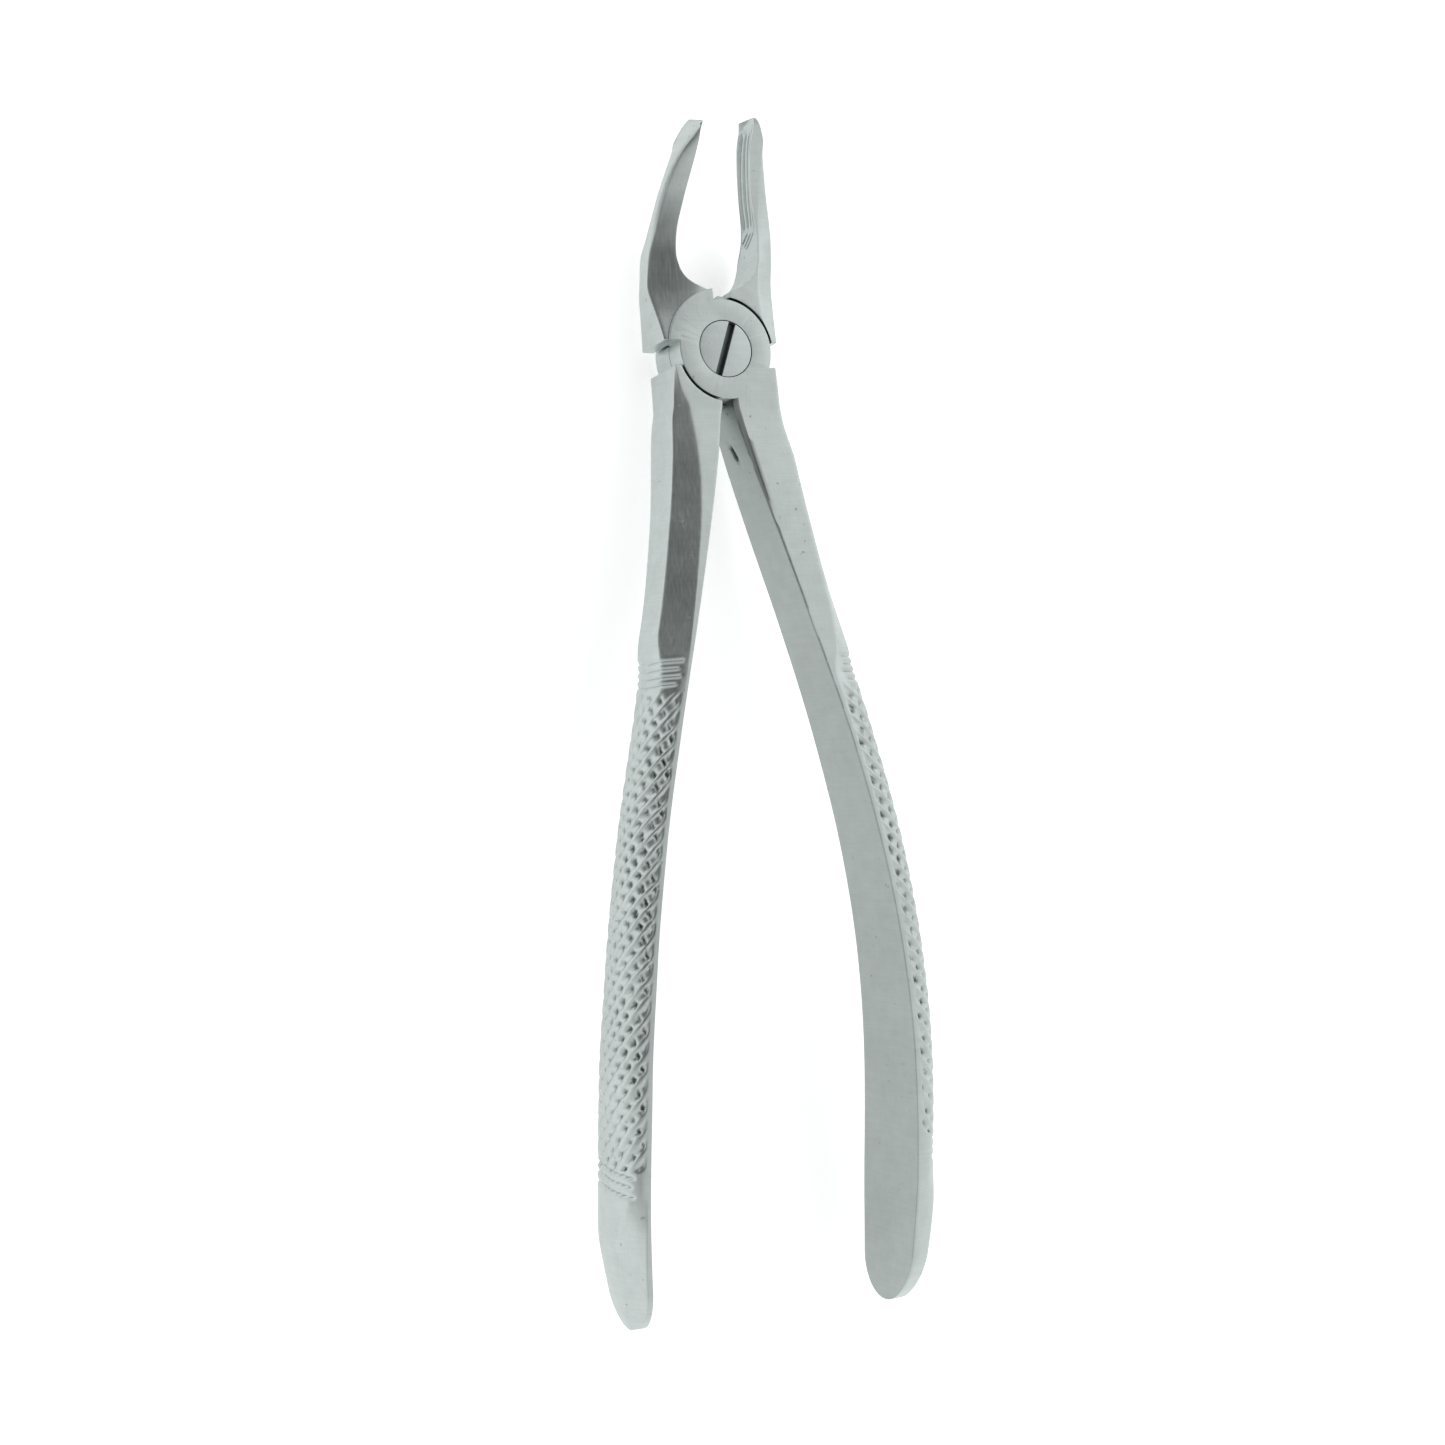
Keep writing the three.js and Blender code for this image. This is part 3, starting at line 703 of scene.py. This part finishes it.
def half(which):
    """One forging: handle, beak and disc joined, then the other half's disc and the screw cut out of it."""
    if which == "front":
        side, lap, mouth = 1, LAP_Z + LAP_GAP / 2, -JOINT_HALF
        low, high, edges = lap, JOINT_HALF, (THIN_EDGE, EDGE)
    else:
        side, lap, mouth = -1, LAP_Z - LAP_GAP / 2, JOINT_HALF
        low, high, edges = -JOINT_HALF, lap, (EDGE, THIN_EDGE)
    forging = handle(side, which)
    forging = combine(forging, beak(-side, which), "UNION")
    forging = combine(forging, beak_face(-side, low, high, *edges), "UNION")
    forging = combine(forging, rounded_puck("disc", DISC_R, low, high, *edges), "UNION")
    forging = combine(forging, flared_cutter("recess", DISC_R + RUNNING_GAP, lap, mouth), "DIFFERENCE")
    if which == "front":
        hole = flared_cutter("head_hole", HEAD_R + HEAD_GAP, JOINT_HALF - HEAD_DEPTH - 0.1, JOINT_HALF, 0.05)
        forging = combine(forging, hole, "DIFFERENCE")
    flare = 0.05 if which == "front" else 0.06
    bore = flared_cutter("bore", SCREW_SHANK_R + BORE_GAP, JOINT_HALF, -JOINT_HALF, flare)
    forging = combine(forging, bore, "DIFFERENCE")
    forging.name = f"{which}_forging"
    return forging


front_forging = half("front")
rear_forging = half("rear")
for forging in (front_forging, rear_forging):
    print(forging.name, len(forging.data.polygons), "faces")

# %% [markdown]
# ## The screw
# A turned screw with a flat head, flush with the joint. The slot is a box with a slightly
# open mouth, cut with the same boolean step as the joint.

# %% The pivot screw
SLOT_WIDTH = 1.05
SLOT_DEPTH = 1.1
SLOT_TURN = np.radians(69.5)
SCREW_EDGE = 0.1
SINK = 0.02


def pivot_screw():
    """A turned profile of (radius, z) with the slot cut across its head."""
    top, bottom, neck = JOINT_HALF - SINK, -JOINT_HALF + SINK, JOINT_HALF - HEAD_DEPTH
    rim = [(HEAD_R - SCREW_EDGE * (1 - np.cos(q)), top - SCREW_EDGE * (1 - np.sin(q))) for q in QUARTER]
    foot = [(SCREW_SHANK_R - SCREW_EDGE * (1 - np.sin(q)), bottom + SCREW_EDGE * (1 - np.cos(q)))
            for q in QUARTER]
    shoulder = [(SCREW_SHANK_R, neck), (HEAD_R, neck)]
    profile = [(0, bottom), (1, bottom), *foot, *shoulder, *rim, (1, top), (0, top)]
    screw = turned("pivot_screw_fine", profile)
    length = HEAD_R * 1.4
    along = np.array([np.cos(SLOT_TURN), np.sin(SLOT_TURN)])
    across = np.array([-along[1], along[0]])
    levels = [(top - SLOT_DEPTH, 0.5), (top - 0.08, 0.5), (top, 0.56), (top + 0.5, 0.56)]
    rings = np.array([[(*(along * length * u + across * SLOT_WIDTH * w * v), z)
                       for u, v in ((-1, -1), (1, -1), (1, 1), (-1, 1))] for z, w in levels])
    return combine(screw, skin("slot", rings), "DIFFERENCE")


screw = pivot_screw()
print("screw", len(screw.data.polygons), "faces")

# %% [markdown]
# ## Steel
# Satin steel is a metal whose tiny grinding lines blur what it mirrors. One material
# function serves both slots: slow clouds change the tone, long thin noise along the tool
# makes the grinding lines, and small specks are the pits that cheap forgings keep.

# %% A satin steel


def satin_steel(name, tone, grain_along, roughness):
    """Metal whose colour, roughness and bump come from clouds, stretched grain and pits, on Object
    coordinates, with painted shade: the colour is darkened by a point attribute."""
    material = bpy.data.materials.new(name)
    material.use_nodes = True
    nodes, links = material.node_tree.nodes, material.node_tree.links
    shader = nodes["Principled BSDF"]
    shader.inputs["Metallic"].default_value = 1.0
    place_on = nodes.new("ShaderNodeTexCoord")

    def noise(scale, detail, stretch=(1, 1, 1)):
        mapping = nodes.new("ShaderNodeMapping")
        mapping.inputs["Scale"].default_value = stretch
        links.new(place_on.outputs["Object"], mapping.inputs["Vector"])
        texture = nodes.new("ShaderNodeTexNoise")
        texture.inputs["Scale"].default_value = scale
        texture.inputs["Detail"].default_value = detail
        links.new(mapping.outputs["Vector"], texture.inputs["Vector"])
        return texture.outputs["Fac"]

    def remap(value, from_low, from_high, to_low, to_high):
        node = nodes.new("ShaderNodeMapRange")
        node.inputs["From Min"].default_value = from_low
        node.inputs["From Max"].default_value = from_high
        node.inputs["To Min"].default_value = to_low
        node.inputs["To Max"].default_value = to_high
        links.new(value, node.inputs["Value"])
        return node.outputs["Result"]

    def arithmetic(how, a, b):
        node = nodes.new("ShaderNodeMath")
        node.operation = how
        for socket, value in zip(node.inputs, (a, b)):
            if isinstance(value, (int, float)):
                socket.default_value = value
            else:
                links.new(value, socket)
        return node.outputs["Value"]

    clouds = noise(90, 3)
    patches = noise(420, 2)
    grain = noise(4200, 2, grain_along)
    cross_grain = noise(3600, 2, [1.05 - v for v in grain_along])
    pits = remap(noise(1100, 1), 0.73, 0.80, 0, 1)
    tone_mix = arithmetic("ADD", remap(clouds, 0.3, 0.7, -0.05, 0.05),
                          remap(patches, 0.3, 0.7, -0.035, 0.035))
    tone_mix = arithmetic("ADD", tone_mix, remap(grain, 0.3, 0.7, -0.035, 0.035))
    tone_mix = arithmetic("ADD", tone_mix, remap(cross_grain, 0.3, 0.7, -0.03, 0.03))
    tone_mix = arithmetic("SUBTRACT", tone_mix, arithmetic("MULTIPLY", pits, 0.22))
    bright = arithmetic("ADD", tone_mix, 1.0)
    colour = nodes.new("ShaderNodeMix")
    colour.data_type = "RGBA"
    colour.inputs[6].default_value = (0, 0, 0, 1)
    colour.inputs[7].default_value = (*[2 * v for v in tone], 1)
    # Painted shade: a point attribute darkens the colour in recesses, inside the joint and between the
    # handles.
    painted_shade = nodes.new("ShaderNodeAttribute")
    painted_shade.attribute_name = "painted_shade"
    lit_factor = remap(painted_shade.outputs["Fac"], 0, 1, 0.5, 0.15)
    links.new(arithmetic("MULTIPLY", bright, lit_factor), colour.inputs[0])
    links.new(colour.outputs[2], shader.inputs["Base Color"])
    rough = arithmetic("ADD", remap(clouds, 0.3, 0.7, -0.04, 0.05), remap(grain, 0.3, 0.7, -0.04, 0.04))
    rough = arithmetic("ADD", rough, arithmetic("MULTIPLY", pits, 0.2))
    links.new(arithmetic("ADD", rough, roughness), shader.inputs["Roughness"])
    height = arithmetic("SUBTRACT", arithmetic("MULTIPLY", grain, 0.6), arithmetic("MULTIPLY", pits, 1.5))
    height = arithmetic("ADD", height, arithmetic("MULTIPLY", patches, 0.8))
    bump = nodes.new("ShaderNodeBump")
    bump.inputs["Strength"].default_value = 0.12
    bump.inputs["Distance"].default_value = 0.0001
    links.new(height, bump.inputs["Height"])
    links.new(bump.outputs["Normal"], shader.inputs["Normal"])
    return material


forged_steel = satin_steel("forged_steel", (0.515, 0.565, 0.552), (1.0, 0.045, 1.0), 0.36)
screw_steel = satin_steel("screw_steel", (0.50, 0.548, 0.54), (1.0, 0.25, 1.0), 0.34)

# %% [markdown]
# Each fine piece takes a steel, rides on the body it belongs to and stands for its CAD
# node. Smooth shading is limited by angle, so ground faces stay flat up to their edges.

# %% Dress and mount the pieces
SMOOTH_LIMIT = np.radians(38)


def lift_up(points):
    """Metres on the table back to drawing millimetres: the inverse of lay_down."""
    x, y, z = np.moveaxis((np.asarray(points, float) - PIVOT_AT) / MM, -1, 0)
    return np.stack([x, y * np.cos(TIP) - z * np.sin(TIP), y * np.sin(TIP) + z * np.cos(TIP)], -1)


def shade_joint_inside(piece):
    """Adds painted shade inside the joint: none at the outer faces, full 0.6 mm below them, and none in the
    open notches at the sides. Prints how many points are dark."""
    mesh = piece.data
    at = np.zeros(len(mesh.vertices) * 3)
    mesh.vertices.foreach_get("co", at)
    x, y, z = np.moveaxis(lift_up(at.reshape(-1, 3)), -1, 0)
    # Painted shade: the colour darkens below the outer faces, where the two halves shade each other.
    inside = ease(JOINT_HALF - np.abs(z), 0.12, 0.6) * (np.hypot(x, y) < DISC_R + RUNNING_GAP + 0.1)
    inside *= 1 - ease(np.abs(x), 5.5, 6.5) * (np.abs(y + 0.75) < 2.2)
    if "painted_shade" not in mesh.attributes:
        mesh.attributes.new("painted_shade", "FLOAT", "POINT")
    painted_shade = np.zeros(len(mesh.vertices))
    mesh.attributes["painted_shade"].data.foreach_get("value", painted_shade)
    painted_shade = np.maximum(painted_shade, inside)
    print(piece.name, "is dark at", int((painted_shade > 0.5).sum()), "of", len(painted_shade), "points")
    mesh.attributes["painted_shade"].data.foreach_set("value", painted_shade.astype(np.float32))


def mount(piece, material, body, node):
    """Paints shade inside the joint, gives a piece its steel and smooth shading, ties it to its body and
    hides its CAD node.
    """
    shade_joint_inside(piece)
    piece.data.materials.clear()
    piece.data.materials.append(material)
    piece.data.shade_smooth()
    piece.data.set_sharp_from_angle(angle=SMOOTH_LIMIT)
    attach(piece, body)
    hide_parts(node)


mount(front_forging, forged_steel, "front", "front_half")
mount(rear_forging, forged_steel, "rear", "rear_half")
mount(screw, screw_steel, "rear", "pivot_screw")

# %% [markdown]
# ## Floor, light and camera
# The tool lies on a plain white floor that glows a little, as a lit table does. A satin
# metal shows what stands round it, so the sky is what models the form. It is bright all
# round and dark in one patch behind the camera, on the left. A face that looks straight
# at the camera mirrors that patch, which puts the dark tone on the bevels. One weak lamp
# on the right adds a soft shadow.

# %% Floor and light
FLOOR_HALF = 1.5
FLOOR_Z = -1e-5
floor_corners = [(FLOOR_HALF * u, FLOOR_HALF * v, FLOOR_Z) for u, v in ((-1, -1), (1, -1), (1, 1), (-1, 1))]
floor_mesh = bpy.data.meshes.new("floor")
floor_mesh.from_pydata(floor_corners, [], [(0, 1, 2, 3)])
floor = bpy.data.objects.new("floor", floor_mesh)
bpy.context.scene.collection.objects.link(floor)
floor_paint = bpy.data.materials.new("floor_paint")
floor_paint.use_nodes = True
floor_sockets = floor_paint.node_tree.nodes["Principled BSDF"].inputs
floor_sockets["Base Color"].default_value = (0.94, 0.945, 0.945, 1)
floor_sockets["Roughness"].default_value = 0.9
floor_sockets["Specular IOR Level"].default_value = 0.1
floor_sockets["Emission Color"].default_value = (1, 1, 1, 1)
floor_sockets["Emission Strength"].default_value = 0.55
floor.data.materials.append(floor_paint)

world = bpy.data.worlds.new("studio")
bpy.context.scene.world = world
world.use_nodes = True
sky, sky_links = world.node_tree.nodes, world.node_tree.links
DARK_SIDE = Vector((-0.45, 0.32, 0.84)).normalized()
SKY_STOPS = [(0.0, 1.0), (0.45, 0.86), (0.62, 0.74), (0.80, 0.56), (0.92, 0.20), (1.0, 0.10)]


def studio_sky():
    """Sky brightness falls towards the dark side: a ramp over the cosine of the angle to it."""
    direction = sky.new("ShaderNodeTexCoord")
    cosine = sky.new("ShaderNodeVectorMath")
    cosine.operation = "DOT_PRODUCT"
    cosine.inputs[1].default_value = DARK_SIDE
    sky_links.new(direction.outputs["Generated"], cosine.inputs[0])
    ramp = sky.new("ShaderNodeValToRGB")
    while len(ramp.color_ramp.elements) < len(SKY_STOPS):
        ramp.color_ramp.elements.new(0.5)
    for stop, (position, bright) in zip(ramp.color_ramp.elements, SKY_STOPS):
        stop.position = position
        stop.color = (bright, bright, bright, 1)
    sky_links.new(cosine.outputs["Value"], ramp.inputs["Fac"])
    sky_links.new(ramp.outputs["Color"], sky["Background"].inputs["Color"])


studio_sky()


def soft_lamp(name, at, size, power):
    """A square soft light that looks at the middle of the tool."""
    lamp = bpy.data.lights.new(name, "AREA")
    lamp.size = size
    lamp.energy = power
    made = bpy.data.objects.new(name, lamp)
    made.location = at
    made.rotation_euler = Vector(at).to_track_quat("Z", "Y").to_euler()
    bpy.context.scene.collection.objects.link(made)


soft_lamp("window", (0.8, 0.5, 0.7), 0.8, 0.8)

# %% [markdown]
# The camera stands to the left of the tool and a little below it, looking down, and it is
# tilted a few degrees so that the handles hang straight in its view. Its place is given
# from the front of the joint: a distance, two angles and a roll, and where the joint
# falls in the view, as a share of its width from the middle.

# %% Camera
DISTANCE = 355.0
AZIMUTH, ELEVATION, ROLL = np.radians((-26.76, -4.95, -4.9))
SENSOR = 36.0
LENS = 61.03
JOINT_FRONT = np.array([0, 0, 4.0])
JOINT_IN_VIEW = (0.0019, 0.2586)


def camera_place():
    """Where the camera is and how it is turned, in drawing millimetres: two angles, then the roll."""
    level = np.cos(ELEVATION)
    back = np.array([np.sin(AZIMUTH) * level, np.sin(ELEVATION), np.cos(AZIMUTH) * level])
    right = np.cross((0, 1, 0), back)
    right /= np.linalg.norm(right)
    up = np.cross(back, right)
    rolled_right = np.cos(ROLL) * right + np.sin(ROLL) * up
    rolled_up = np.cos(ROLL) * up - np.sin(ROLL) * right
    aside = np.array(JOINT_IN_VIEW) * SENSOR / LENS * DISTANCE
    at = JOINT_FRONT - rolled_right * aside[0] - rolled_up * aside[1] + back * DISTANCE
    return at, rolled_right, rolled_up, back


at, right, up, back = camera_place()
origin = lay_down(np.zeros(3))
axes = [(lay_down(v) - origin) / MM for v in (right, up, back)]
turn = Matrix([[axes[c][r] for c in range(3)] for r in range(3)]).to_4x4()
camera_data = bpy.data.cameras.new("camera")
camera_data.lens = LENS
camera_data.sensor_width = SENSOR
camera_data.clip_start = 0.01
camera = bpy.data.objects.new("camera", camera_data)
camera.matrix_world = Matrix.Translation(Vector(lay_down(at))) @ turn
bpy.context.scene.collection.objects.link(camera)
bpy.context.scene.camera = camera
bpy.context.scene.view_settings.view_transform = "Standard"
print("camera at", [round(v, 4) for v in camera.location])
